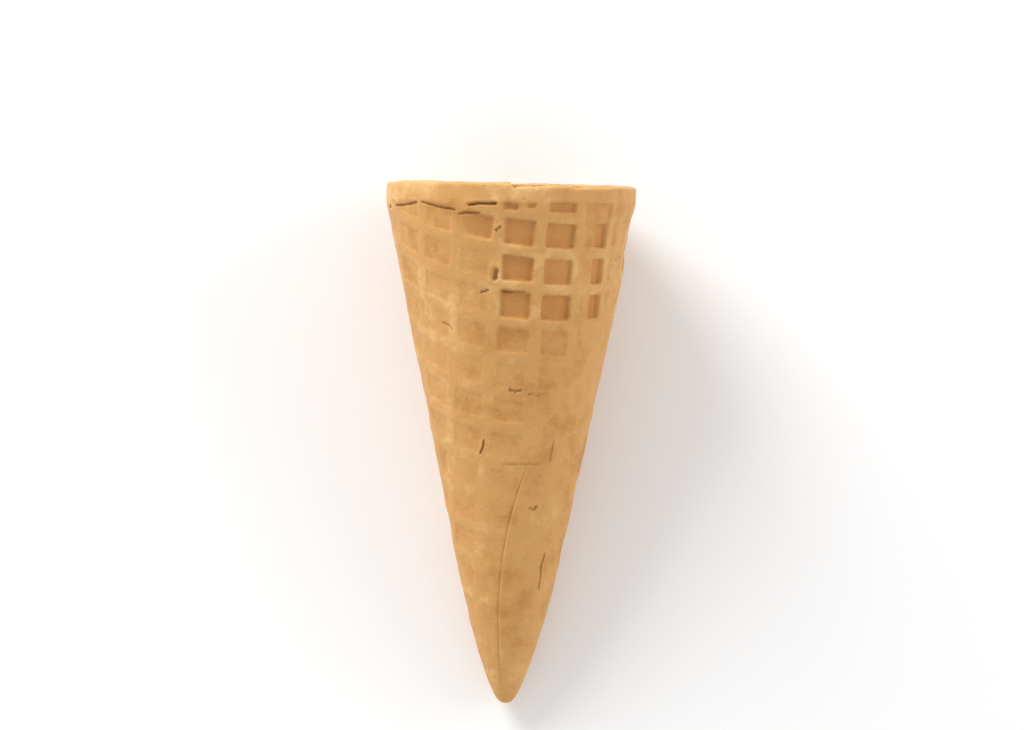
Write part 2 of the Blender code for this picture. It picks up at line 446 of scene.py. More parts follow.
@dataclass
class OuterRelief:
    """The outside of the sheet: waffle, band, lap, cracks and waves."""

    form: ConeForm
    pattern: WafflePattern
    tones: BakeTones = BakeTones()
    band_blend: float = 0.45 * MM
    wave: float = 0.15 * MM
    ripple: float = 0.06 * MM
    grain: float = 0.028 * MM
    waver_across: float = 0.022  # of a column
    waver_along: float = 0.028  # of a row
    shiver: float = 0.008
    row_noise_shift: float = 0.02  # metres, so that rows and columns waver apart
    tip_fade: Span = (12.0 * MM, 24.0 * MM)  # from the tip
    lap_pressed: float = math.radians(50.0)
    lap_pressed_ease: Span = (0.7, 1.2)  # of that angle
    lap_pressed_least: float = 0.35  # of the pattern is left there
    lap_smooth_start: Span = (22.0 * MM, 28.0 * MM)
    lap_smooth_stop: Span = (64.0 * MM, 56.0 * MM)
    lap_smooth_width: float = 3.2 * MM
    pressed_slope: float = 0.5  # how much wider the slopes of pressed pockets are
    pressed_crown: float = 0.35  # of an open rib's crown
    pressed_floor: float = 0.05  # of an open floor's tone
    pressed_slow: float = 0.8  # how far the slow waves change the pressed pockets' depth
    pressed_odd: float = 0.4
    pressed_range: Span = (0.2, 2.0)
    open_odd: float = 0.12
    floor_odd: float = 0.15
    dent_ease: Span = (0.15 * MM, -0.35 * MM)
    dent_waver: float = 0.01
    slow: SoftNoise = field(default_factory=lambda: SoftNoise(15.0 * MM, 3))
    middle: SoftNoise = field(default_factory=lambda: SoftNoise(3.8 * MM, 5))
    patch: SoftNoise = field(default_factory=lambda: SoftNoise(6.5 * MM, 11))
    fine: SoftNoise = field(default_factory=lambda: SoftNoise(0.9 * MM, 7))

    def relief(self, along: Array, angle: Array, turn: Array, places: Array) -> Relief:
        """Work out the relief.

        Args:
            along: Distances from the rim plane.
            angle: Angles round the axis.
            turn: Turns along the sheet, which end at the lap edge.
            places: The same places in space, as rows.

        Returns:
            Heights and masks for each place.
        """
        slow = self.slow.at(places)
        middle = self.middle.at(places)
        fine = self.fine.at(places)
        column, row = self.pattern.flat_places(along, turn)
        column = column + self.waver_across * middle + self.shiver * fine
        shifted = self.middle.at(places + self.row_noise_shift)
        row = row + self.waver_along * shifted - self.shiver * fine
        band = eased(self.form.band_height + self.band_blend, self.form.band_height, along)
        fade = self.left_by_press(along, turn)
        gap = self.pattern.gaps(column, row)
        press = self.pattern.pockets.openness(along, angle, column, row)
        odd = self.pattern.variation(column, row)
        slope = self.pattern.slope * (1.0 + self.pressed_slope * (1.0 - press))
        inside = eased(0.0, -slope, gap) * (1.0 - band) * fade
        uneven = 1.0 + self.pressed_slow * slow + self.pressed_odd * odd
        shallow = self.pattern.pressed_depth * np.clip(uneven, *self.pressed_range)
        deep = self.pattern.open_depth * (1.0 + self.open_odd * odd)
        height = -(shallow + (deep - shallow) * press) * inside
        rounding = np.square(1.0 - np.clip(gap / self.pattern.crown_width, 0.0, 1.0))
        crown = self.pattern.crown * (self.pressed_crown + (1.0 - self.pressed_crown) * press)
        height -= crown * rounding * (1.0 - band) * fade
        height += self.wave * slow + self.ripple * middle + self.grain * fine
        floor = inside * (self.pressed_floor + (1.0 - self.pressed_floor) * press)
        floor = floor * (1.0 + self.floor_odd * odd)
        for dent in DENTS:
            mask = self.dent_mask(dent, along, angle + self.dent_waver * middle)
            height -= np.maximum(dent.depth * mask + np.minimum(height, 0.0), 0.0)
            floor = np.maximum(floor, dent.brown * mask)
        crack, height = self.cracked(height, along, angle, fine)
        tones = self.tones
        toast_and_painted_light = tones.patch * self.patch.at(places) + tones.slow * slow
        toast_and_painted_light += tones.middle * middle + tones.fine * fine
        toast_and_painted_light += tones.side * np.cos(wrapped(angle) - tones.side_turn)
        # painted light over the band's own paler tone, toward its left
        toast_and_painted_light -= tones.band_pale_and_painted_light * band * eased(*tones.band_pale_and_painted_light_span, wrapped(angle))
        # ribs paler than the pockets: their own paler tone, with a painted highlight beside open
        # pockets
        pale = tones.pale_rib + tones.painted_highlight_open_rib * press
        toast_and_painted_light += tones.pocket * inside - pale * (1.0 - inside) * fade
        return Relief(height, np.clip(floor, 0.0, 1.0), crack, toast_and_painted_light)

    def left_by_press(self, along: Array, turn: Array) -> Array:
        """How much of the pattern the press left: less at the sheet's outer end and the tip.

        Args:
            along: Distances from the rim plane.
            turn: Turns along the sheet.

        Returns:
            An array between 0 and 1.
        """
        from_start = turn - self.form.lap_edge(along) + FULL_TURN
        fade = eased(*self.tip_fade, self.form.length - along)
        low, high = (share * self.lap_pressed for share in self.lap_pressed_ease)
        least = self.lap_pressed_least
        fade = fade * (least + (1.0 - least) * eased(low, high, from_start))
        return fade * (1.0 - self.smoothed_lap(along, from_start))

    def smoothed_lap(self, along: Array, from_start: Array) -> Array:
        """How much the press smoothed the pattern away beside the middle of the lap edge.

        Args:
            along: Distances from the rim plane.
            from_start: Angles round the axis from the lap edge.

        Returns:
            An array between 0 and 1.
        """
        radius = self.form.radius(along, 0.0, self.form.length)
        beside = np.minimum(from_start, FULL_TURN - from_start) * radius
        middle = eased(*self.lap_smooth_start, along) * eased(*self.lap_smooth_stop, along)
        return middle * bump_of(beside, self.lap_smooth_width)

    def dent_mask(self, dent: Dent, along: Array, angle: Array) -> Array:
        """How far each place is inside a dent.

        Args:
            dent: The dent.
            along: Distances from the rim plane.
            angle: Angles round the axis.

        Returns:
            An array from 0 outside the dent to 1 on its floor.
        """
        middle = sum(dent.alongs) / 2.0 * MM
        radius = self.form.outer_radius(middle)
        half_turn = math.radians(dent.turns[1] - dent.turns[0]) / 2.0
        centre = math.radians(dent.turns[1] + dent.turns[0]) / 2.0
        side = np.abs(wrapped(angle - centre)) * radius - half_turn * radius
        end = np.abs(along - middle) - (dent.alongs[1] - dent.alongs[0]) / 2.0 * MM
        return eased(*self.dent_ease, side) * eased(*self.dent_ease, end)

    def cracked(
        self, height: Array, along: Array, angle: Array, fine: Array
    ) -> tuple[Array, Array]:
        """Split the surface along the cracks and swell their edges.

        Args:
            height: Heights before the cracks.
            along: Distances from the rim plane.
            angle: Angles round the axis.
            fine: Fine noise, which makes the lines ragged.

        Returns:
            The cracks' mask and the new heights.
        """
        crack = np.zeros(len(along))
        for line in CRACKS:
            distance = self.distance_from(line, along, angle)
            ragged = line.width * (1.0 + line.ragged * fine)
            mask = np.exp(-((distance / ragged) ** line.sharpness))
            height = height - line.depth * mask
            beside = distance - line.lip_place * line.width
            height = height + line.lip * bump_of(beside, line.lip_width * line.width)
            crack = np.maximum(crack, line.dark * mask)
        return crack, height

    def distance_from(self, line: Crack, along: Array, angle: Array) -> Array:
        """Distance of places from a crack's line, measured on the surface.

        Args:
            line: The crack.
            along: Distances from the rim plane.
            angle: Angles round the axis.

        Returns:
            Distances in metres.
        """
        nearest = np.full(len(along), np.inf)
        for (turn_a, along_a), (turn_b, along_b) in zip(line.places, line.places[1:]):
            radius = self.form.outer_radius((along_a + along_b) / 2.0 * MM)
            x = wrapped(angle - math.radians(turn_a)) * radius
            y = along - along_a * MM
            run_x = math.radians(turn_b - turn_a) * radius
            run_y = (along_b - along_a) * MM
            share = np.clip((x * run_x + y * run_y) / (run_x**2 + run_y**2), 0.0, 1.0)
            nearest = np.minimum(nearest, np.hypot(x - share * run_x, y - share * run_y))
        return nearest


@dataclass
class InnerRelief:
    """The inside of the sheet: a shallow print of the same waffle."""

    form: ConeForm
    pattern: WafflePattern
    depth: float = 0.26 * MM
    slope: float = 0.9 * MM
    wave: float = 0.14 * MM
    grain: float = 0.045 * MM
    rim_fade: Span = (2.5 * MM, 4.0 * MM)
    tip_fade: Span = (20.0 * MM, 34.0 * MM)  # from the tip
    floor_share: float = 0.35
    slow_tone: float = 0.35
    fine_tone: float = 0.15
    pocket_tone: float = 0.25
    slow: SoftNoise = field(default_factory=lambda: SoftNoise(11.0 * MM, 13))
    fine: SoftNoise = field(default_factory=lambda: SoftNoise(2.2 * MM, 17))

    def relief(self, along: Array, turn: Array, places: Array) -> Relief:
        """Work out the relief, whose heights point toward the axis.

        Args:
            along: Distances from the rim plane.
            turn: Turns along the sheet.
            places: The same places in space, as rows.

        Returns:
            Heights and masks for each place.
        """
        column, row = self.pattern.flat_places(along, turn)
        fade = eased(*self.rim_fade, along) * eased(*self.tip_fade, self.form.length - along)
        inside = eased(0.0, -self.slope, self.pattern.gaps(column, row)) * fade
        slow = self.slow.at(places)
        fine = self.fine.at(places)
        height = -self.depth * inside + self.wave * slow + self.grain * fine
        toast_and_painted_light = self.slow_tone * slow + self.fine_tone * fine + self.pocket_tone * inside
        return Relief(height, self.floor_share * inside, np.zeros(len(along)), toast_and_painted_light)


# ---------------------------------------------------------------- the rolled wafer


class Zone(Enum):
    """Which part of the sheet a row of the mesh belongs to, numbered along the sheet."""

    OUTSIDE = 0
    RIM = 1
    INSIDE = 2


class Mask(Enum):
    """Names of the masks that the mesh carries for its finish."""

    FLOOR = "floor"
    # cracks, and painted shade along the creases at the lap edge and at the inner end
    CRACK_AND_CREASE_SHADE = "crack"
    TOAST_AND_PAINTED_LIGHT = "toast_and_painted_light"
    # bake tone, with painted light on the band's left and painted highlights on ribs beside open
    # pockets
    CRUMB = "crumb"
    INSIDE = "inside"


@dataclass(frozen=True)
class RimEdge:
    """The uneven rim: higher on the left than on the right, wavy, nicked and chipped."""

    left_rise: float = 0.60 * MM
    left_ease: Span = (-1.62, -0.95)
    right_drop: float = 0.42 * MM
    right_ease: Span = (math.pi, 1.2)
    step_ease: Span = (-0.02, 0.03)
    step_reach: float = 0.5
    # height, number round the rim and phase
    waves: tuple[tuple[float, float, float], ...] = ((0.07 * MM, 7.0, 0.6), (0.04 * MM, 17.0, 2.0))
    # depth, angle and width
    nicks: tuple[tuple[float, float, float], ...] = ((0.45 * MM, 0.02, 0.018), (0.25 * MM, -1.42, 0.05))
    reach: float = 2.4 * MM

    def rise(self, angle: Array) -> Array:
        """How far the rim stands above its mean plane.

        Args:
            angle: Angles round the axis.

        Returns:
            Heights in metres, below zero where the rim is low.
        """
        turn = wrapped(angle)
        left = self.left_rise * eased(*self.left_ease, turn) * (turn <= 0.0)
        right = -self.right_drop * (turn > 0.0) * eased(*self.right_ease, turn)
        step = eased(*self.step_ease, turn) * eased(self.step_reach, 0.0, np.abs(turn))
        total = left * (1.0 - step) + right * np.maximum(step, turn > self.step_reach)
        total = total + sum(high * np.sin(count * turn + start) for high, count, start in self.waves)
        for depth, place, width in self.nicks:
            total = total - depth * bump_of(turn - place, width)
        return total

    def lowered(self, along: Array, angle: Array) -> Array:
        """Distances from the rim plane after the uneven rim has moved them."""
        return along - self.rise(angle) * np.exp(-along / self.reach)


@dataclass(frozen=True)
class LapEdge:
    """The sheet's outer end: pressed nearly flush, proud near the rim and low down, with painted shade
    along its foot.
    """

    form: ConeForm
    flush_lip: float = 0.01 * MM
    rim_lip: float = 0.22 * MM
    rim_span: Span = (27.0 * MM, 18.0 * MM)
    low_lip: float = 0.42 * MM
    low_span: Span = (55.0 * MM, 70.0 * MM)
    press_reach: float = 3.5 * MM
    groove: float = 0.10 * MM
    groove_width: float = 0.16 * MM
    groove_lip: float = 0.3 * MM  # the groove is whole where the lip is at least this high
    worn_share: float = 0.4
    worn_width: float = 0.28 * MM
    # painted shade along the foot of the lap edge: faint where it is flush, strong in the low stretch
    # where it stands proud
    flush_painted_shade: float = 0.10
    low_painted_shade: float = 0.75
    patchy: Span = (0.45, 0.6)  # mean of the painted shade line's patches, and how far they vary
    patch_scale: float = 0.7

    def low(self, along: Array) -> Array:
        """How far these distances are into the low stretch, where the edge stands proud."""
        return eased(*self.low_span, along)

    def lip(self, along: Array) -> Array:
        """Height that still shows at the lap edge after it was pressed down.

        Args:
            along: Distances from the rim plane.

        Returns:
            Heights in metres, at most the spiral's step.
        """
        near_rim = self.rim_lip * eased(*self.rim_span, along)
        shown = self.flush_lip + near_rim + self.low_lip * self.low(along)
        return np.minimum(shown, self.form.step(along))


@dataclass
class RolledWafer:
    """The whole cone as one closed body, from the tip up the outside and down the inside."""

    form: ConeForm
    outer: OuterRelief
    inner: InnerRelief
    lap: LapEdge
    edge: RimEdge = RimEdge()
    name: str = "baked_cone"
    columns: int = 680
    foot_columns: int = 12
    foot_share: float = 0.011
    outer_rows: int = 350
    outer_crowding: float = 1.3
    outer_even: float = 0.49
    rim_rows: int = 12
    inner_rows: int = 110
    inner_crowding: float = 1.15
    straight_place: float = 0.40  # of the lap's sweep: where columns away from the lap run
    follow_reach: float = 0.34  # of a turn: how far from the lap the columns still follow it
    most_triangles: int = 196_000
    weld: float = 0.0004 * MM
    sliver: float = 0.0002 * MM
    edge_round: float = 0.5 * MM
    edge_power: float = 2.6
    tip_blend: float = 4.0 * MM
    end_slope: float = 0.35 * MM
    end_groove: float = 0.1 * MM
    end_groove_place: float = 0.25 * MM
    end_groove_width: float = 0.3 * MM
    # painted shade: a dark line in the groove at the foot of the step at the sheet's inner end
    end_painted_shade: float = 0.6
    seam_middle: float = 0.7  # radians from the lap edge
    seam_half: float = 0.68
    seam_ease: float = 0.02
    seam_width: float = 0.1  # of the wall
    seam_depth: float = 0.45 * MM
    seam_dark: float = 0.75
    rim_crack_share: float = 0.5
    crumb_height: float = 0.07 * MM
    crumb_scale: float = 1.6

    def build(self) -> bpy.types.Object:
        """Make the piece in its place.

        Returns:
            The finished object, with its masks as attributes.
        """
        mesh = self.blank_sheet()
        zone, column, row = self.read_blank(mesh)
        places, masks = self.rolled(zone, column, row)
        placement = np.array(self.form.placement())
        places = places @ placement[:3, :3].T + placement[:3, 3]
        places[:, 2] = np.maximum(places[:, 2], 0.0)
        mesh.vertices.foreach_set("co", places.astype(np.float32).ravel())
        for mask, values in masks.items():
            layer = mesh.attributes.new(mask.value, "FLOAT", "POINT")
            layer.data.foreach_set("value", values.astype(np.float32))
        self.close(mesh)
        piece = bpy.data.objects.new(self.name, mesh)
        bpy.context.scene.collection.objects.link(piece)
        self.lighten(piece)
        return piece

    def row_count(self) -> int:
        """Number of rows of points, from the tip to the bottom of the hollow."""
        return self.outer_rows + self.rim_rows + self.inner_rows

    def blank_sheet(self) -> bpy.types.Mesh:
        """Make the flat sheet.

        Returns:
            A grid with a point for each column and row of the sheet.
        """
        shape = bmesh.new()
        bmesh.ops.create_grid(
            shape, x_segments=self.columns, y_segments=self.row_count() - 1, size=0.5
        )
        mesh = bpy.data.meshes.new(self.name)
        shape.to_mesh(mesh)
        shape.free()
        return mesh

    def read_blank(self, mesh: bpy.types.Mesh) -> tuple[Array, Array, Array]:
        """Read the zone, column and row of each point of the blank sheet.

        Args:
            mesh: The blank sheet.

        Returns:
            Zone numbers, whole columns, and rows counted in each zone.
        """
        flat = np.empty(len(mesh.vertices) * 3, np.float32)
        mesh.vertices.foreach_get("co", flat)
        flat = flat.reshape(-1, 3).astype(float)
        column = np.rint((flat[:, 0] + 0.5) * self.columns).astype(int)
        row = np.rint((flat[:, 1] + 0.5) * (self.row_count() - 1)).astype(int)
        starts = np.cumsum([0, self.outer_rows, self.rim_rows])
        zone = np.searchsorted(starts, row, side="right") - 1
        return zone, column, row - starts[zone]

    def shares(self) -> Array:
        """Space the columns, closer together at the foot of the lap edge.

        Returns:
            The share of a turn for each column.
        """
        even = self.columns - self.foot_columns
        start = 1.0 - self.foot_share
        spread = np.linspace(0.0, start, even, endpoint=False)
        shares = np.concatenate([spread, np.linspace(start, 1.0, self.foot_columns + 1)])
        return shares % 1.0

    def turned(self, share: Array, along: Array) -> Array:
        """Angles of the columns: those beside the lap edge follow it, and the rest run straight.

        Args:
            share: Shares of a turn from the lap edge.
            along: Distances from the rim plane.

        Returns:
            Angles round the axis.
        """
        edge = self.form.lap_edge(along)
        middle = self.form.lap_at_tip + self.straight_place * self.form.lap_sweep
        follow = 1.0 - eased(0.0, self.follow_reach, np.minimum(share, 1.0 - share))
        return middle + (edge - middle) * follow + FULL_TURN * share

    def rolled(self, zone: Array, column: Array, row: Array) -> tuple[Array, dict[Mask, Array]]:
        """Roll the sheet up.

        Args:
            zone: Zone numbers.
            column: Whole columns.
            row: Rows in each zone.

        Returns:
            Places in the cone's own frame, as rows, and the masks.
        """
        share = self.shares()[column]
        places = np.zeros((len(share), 3))
        masks = {mask: np.zeros(len(share)) for mask in Mask}
        makers = {Zone.OUTSIDE: self.outside, Zone.RIM: self.rim, Zone.INSIDE: self.inside}
        for part, make in makers.items():
            chosen = zone == part.value
            made, found = make(share[chosen], row[chosen])
            places[chosen] = made
            for mask, values in found.items():
                masks[mask][chosen] = values
        return places, masks

    def in_space(self, along: Array, angle: Array, radius: Array) -> Array:
        """Places in the cone's own frame, as rows."""
        return np.stack([radius * np.sin(angle), -along, radius * np.cos(angle)], axis=1)

    def outer_surface(self, share: Array, along: Array) -> tuple[Array, Array, Relief]:
        """The outside with its relief.

        Args:
            share: Shares of a turn from the lap edge.
            along: Distances from the rim plane.

        Returns:
            Angles, radii and the relief.
        """
        lap = self.lap
        angle = self.turned(share, along)
        smooth = self.form.radius(along, 0.0, self.form.length)
        spiral = (angle - self.form.lap_edge(along)) / FULL_TURN
        places = self.in_space(along, angle, smooth)
        relief = self.outer.relief(along, angle, angle - FULL_TURN, places)
        lip = lap.lip(along)
        to_foot = (1.0 - spiral) * FULL_TURN * smooth
        from_edge = spiral * FULL_TURN * smooth
        pressed = (self.form.step(along) - lip) * np.exp(-to_foot / lap.press_reach)
        foot = bump_of(to_foot, lap.groove_width) * np.clip(lip / lap.groove_lip, 0.0, 1.0)
        lift = self.form.step(along) * (0.5 - spiral) + pressed + relief.height
        lift -= lap.worn_share * lip * bump_of(from_edge, lap.worn_width) + lap.groove * foot
        fade = np.clip(smooth / self.tip_blend, 0.0, 1.0)
        radius = np.maximum(smooth + lift * fade, 0.0)
        mean, vary = lap.patchy
        patchy = np.clip(mean + vary * self.outer.middle.at(places * lap.patch_scale), 0.0, 1.0)
        # painted shade: a patchy dark line in the groove at the foot of the lap edge, stronger where
        # the edge stands proud
        seam = foot * patchy * (lap.flush_painted_shade + lap.low_painted_shade * lap.low(along))
        crack = np.maximum(relief.crack, seam)
        return angle, radius, Relief(relief.height, relief.floor, crack, relief.toast_and_painted_light)

    def inner_surface(self, share: Array, along: Array) -> tuple[Array, Array, Relief]:
        """The inside with its relief and the step at the sheet's inner end.

        Args:
            share: Shares of a turn from the lap edge.
            along: Distances from the rim plane.

        Returns:
            Angles, radii and the relief.
        """
        angle = self.turned(share, along)
        smooth = self.form.radius(along, self.form.wall, self.form.length - self.form.tip_solid)
        edge = self.form.lap_edge(along) + self.form.lap_overlap
        from_end = wrapped(angle - edge)
        past_end = from_end % FULL_TURN
        arc = from_end * smooth
        step = self.form.step(along)
        lift = step * (0.5 - past_end / FULL_TURN)
        lift = lift + step * eased(-self.end_slope, 0.0, arc) * (from_end < 0.0)
        turn = edge + past_end - FULL_TURN
        relief = self.inner.relief(along, turn, self.in_space(along, angle, smooth))
        fade = np.clip(smooth / self.tip_blend, 0.0, 1.0)
        foot = bump_of(arc - self.end_groove_place, self.end_groove_width)
        lift = lift - relief.height + self.end_groove * foot
        radius = np.maximum(smooth + lift * fade, 0.0)
        # painted shade at the foot of the inner end's step
        return angle, radius, Relief(relief.height, relief.floor, self.end_painted_shade * foot, relief.toast_and_painted_light)

    def outside(self, share: Array, row: Array) -> tuple[Array, dict[Mask, Array]]:
        """Make the points of the outside.

        Args:
            share: Shares of a turn from the lap edge.
            row: Rows, counted from the tip to the rim.

        Returns:
            Places in the cone's own frame and the masks.
        """
        along = self.outer_stations()[row]
        angle, radius, relief = self.outer_surface(share, along)
        places = self.in_space(self.edge.lowered(along, angle), angle, radius)
        return places, {Mask.FLOOR: relief.floor, Mask.CRACK_AND_CREASE_SHADE: relief.crack, Mask.TOAST_AND_PAINTED_LIGHT: relief.toast_and_painted_light}

    def inside(self, share: Array, row: Array) -> tuple[Array, dict[Mask, Array]]:
        """Make the points of the inside.

        Args:
            share: Shares of a turn from the lap edge.
            row: Rows, counted from the rim to the bottom of the hollow.

        Returns:
            Places in the cone's own frame and the masks.
        """
        along = self.inner_stations()[row]
        angle, radius, relief = self.inner_surface(share, along)
        places = self.in_space(self.edge.lowered(along, angle), angle, radius)
        masks = {Mask.FLOOR: relief.floor, Mask.CRACK_AND_CREASE_SHADE: relief.crack, Mask.TOAST_AND_PAINTED_LIGHT: relief.toast_and_painted_light}
        masks[Mask.INSIDE] = np.ones(len(along))
        return places, masks

    def rim(self, share: Array, row: Array) -> tuple[Array, dict[Mask, Array]]:
        """Make the points of the rim's own face, rounded over from the outside to the inside.

        Args:
            share: Shares of a turn from the lap edge.
            row: Rows, counted from the outside to the inside.

        Returns:
            Places in the cone's own frame and the masks.
        """
        across = (row + 1.0) / (self.rim_rows + 1.0)
        start = np.full(len(share), self.edge_round)
        angle, outer, relief = self.outer_surface(share, start)
        inner = self.inner_surface(share, start)[1]
        eased_across = 0.5 - 0.5 * np.cos(math.pi * across)
        radius = outer + (inner - outer) * eased_across
        along = self.edge_round * np.abs(2.0 * eased_across - 1.0) ** self.edge_power
        from_middle = np.abs(wrapped(angle - self.form.lap_edge(start) - self.seam_middle))
        lapped = eased(self.seam_ease, 0.0, from_middle - self.seam_half)
        seam = bump_of(across - 0.5, self.seam_width) * lapped
        along = along + self.seam_depth * seam
        crumbly = self.outer.fine.at(self.in_space(along, angle, radius) * self.crumb_scale)
        along = along + self.crumb_height * crumbly
        masks = {
            Mask.CRACK_AND_CREASE_SHADE: np.maximum(relief.crack * self.rim_crack_share, self.seam_dark * seam),
            Mask.CRUMB: np.sin(math.pi * across),
            Mask.TOAST_AND_PAINTED_LIGHT: relief.toast_and_painted_light,
        }
        return self.in_space(self.edge.lowered(along, angle), angle, radius), masks

    def outer_stations(self) -> Array:
        """Space the outside's rows, closer near both ends.

        Returns:
            Distances from the rim plane, from the tip to the rim.
        """
        share = np.linspace(0.0, 1.0, self.outer_rows) ** self.outer_crowding
        slowed = 1.0 - (1.0 - share) ** 2
        spread = self.outer_even * share + (1.0 - self.outer_even) * slowed
        return self.form.length - (self.form.length - self.edge_round) * spread

    def inner_stations(self) -> Array:
        """Space the inside's rows, closer near the bottom of the hollow.

        Returns:
            Distances from the rim plane, from the rim to the bottom of the hollow.
        """
        share = np.linspace(0.0, 1.0, self.inner_rows)
        depth = self.form.length - self.form.tip_solid - self.edge_round
        return self.edge_round + depth * (1.0 - (1.0 - share) ** self.inner_crowding)

    def close(self, mesh: bpy.types.Mesh) -> None:
        """Join the sheet's two ends and gather each pole to one point.

        Args:
            mesh: The rolled sheet.
        """
        shape = bmesh.new()
        shape.from_mesh(mesh)
        bmesh.ops.remove_doubles(shape, verts=shape.verts, dist=self.weld)
        bmesh.ops.dissolve_degenerate(shape, edges=shape.edges, dist=self.sliver)
        bmesh.ops.recalc_face_normals(shape, faces=shape.faces)
        open_edges = sum(edge.is_boundary for edge in shape.edges)
        shape.to_mesh(mesh)
        shape.free()
        LOG.info("closed sheet: %d faces, %d open edges", len(mesh.polygons), open_edges)

    def lighten(self, piece: bpy.types.Object) -> None:
        """Keep triangles where the relief needs them, up to the piece's limit.

        Args:
            piece: The closed cone.
        """
        before = sum(len(face.vertices) - 2 for face in piece.data.polygons)
        thin = piece.modifiers.new("lighten", "DECIMATE")
        thin.ratio = min(1.0, self.most_triangles / before)
        graph = bpy.context.evaluated_depsgraph_get()
        lighter = bpy.data.meshes.new_from_object(piece.evaluated_get(graph))
        piece.modifiers.clear()
        heavy = piece.data
        piece.data = lighter
        bpy.data.meshes.remove(heavy)
        lighter.name = self.name
        lighter.shade_smooth()
        LOG.info("lightened from %d to %d faces", before, len(lighter.polygons))


# ---------------------------------------------------------------- finishes


@dataclass(frozen=True)
class Speckle:
    """A noise in a finish: its texture, the values that are read and what they become."""

    scale: float
    detail: float
    rough: float
    read: Span
    gives: Span


@dataclass(frozen=True)
class NodeDesk:
    """A material's node tree with short ways to add to it."""

    tree: bpy.types.NodeTree

    def add(self, kind: str, **settings: object) -> bpy.types.Node:
        """Add a node and set its properties.

        Args:
            kind: The node's type name.
            **settings: Properties by name.

        Returns:
            The new node.
        """
        node = self.tree.nodes.new(kind)
        for name, value in settings.items():
            setattr(node, name, value)
        return node

    def feed(self, node: bpy.types.Node, socket: str | int, value: object) -> None:
        """Link an output socket to an input, or set the input to a plain value.

        Args:
            node: The node that is fed.
            socket: Name or number of its input.
            value: An output socket, a number or a colour.
        """
        if isinstance(value, bpy.types.NodeSocket):
            self.tree.links.new(value, node.inputs[socket])
        else:
            node.inputs[socket].default_value = value

    def mask(self, mask: Mask) -> bpy.types.NodeSocket:
        """Value of a mask that the mesh carries."""
        return self.add("ShaderNodeAttribute", attribute_name=mask.value).outputs["Fac"]

    def maths(self, operation: str, *values: object) -> bpy.types.NodeSocket:
        """Add a Math node.

        Args:
            operation: What it does.
            *values: Sockets or numbers, in the order of its inputs.

        Returns:
            Its result.
        """
        node = self.add("ShaderNodeMath", operation=operation)
        for number, value in enumerate(values):
            self.feed(node, number, value)
        return node.outputs[0]

    def ranged(self, value: bpy.types.NodeSocket, read: Span, gives: Span) -> bpy.types.NodeSocket:
        """Map a value smoothly from one range to another, held at its ends.

        Args:
            value: The value.
            read: Its range.
            gives: The range it becomes.

        Returns:
            The mapped value.
        """
        node = self.add("ShaderNodeMapRange", interpolation_type="SMOOTHSTEP")
        for number, held in enumerate((value, *read, *gives)):
            self.feed(node, number, held)
        return node.outputs[0]

    def blend(self, share: object, first: object, second: object) -> bpy.types.NodeSocket:
        """Mix two colours.

        Args:
            share: Share of the second colour.
            first: The first colour.
            second: The second colour.

        Returns:
            The mixed colour.
        """
        node = self.add("ShaderNodeMix", data_type="RGBA")
        numbers = [number for number, socket in enumerate(node.inputs) if socket.type == "RGBA"]
        self.feed(node, 0, share)
        for number, colour in zip(numbers, (first, second)):
            self.feed(node, number, colour)
        return next(socket for socket in node.outputs if socket.type == "RGBA")

    def noise(
        self, place: bpy.types.NodeSocket, scale: float, detail: float, rough: float
    ) -> bpy.types.NodeSocket:
        """Add a noise texture.

        Args:
            place: Where it is read.
            scale: Its scale.
            detail: Its levels of detail.
            rough: How strong the finer levels are.

        Returns:
            Its value.
        """
        node = self.add("ShaderNodeTexNoise")
        self.feed(node, "Vector", place)
        self.feed(node, "Scale", scale)
        self.feed(node, "Detail", detail)
        self.feed(node, "Roughness", rough)
        return node.outputs["Fac"]

    def speckle(self, place: bpy.types.NodeSocket, speckle: Speckle) -> bpy.types.NodeSocket:
        """Value of a speckle at a place."""
        value = self.noise(place, speckle.scale, speckle.detail, speckle.rough)
        return self.ranged(value, speckle.read, speckle.gives)


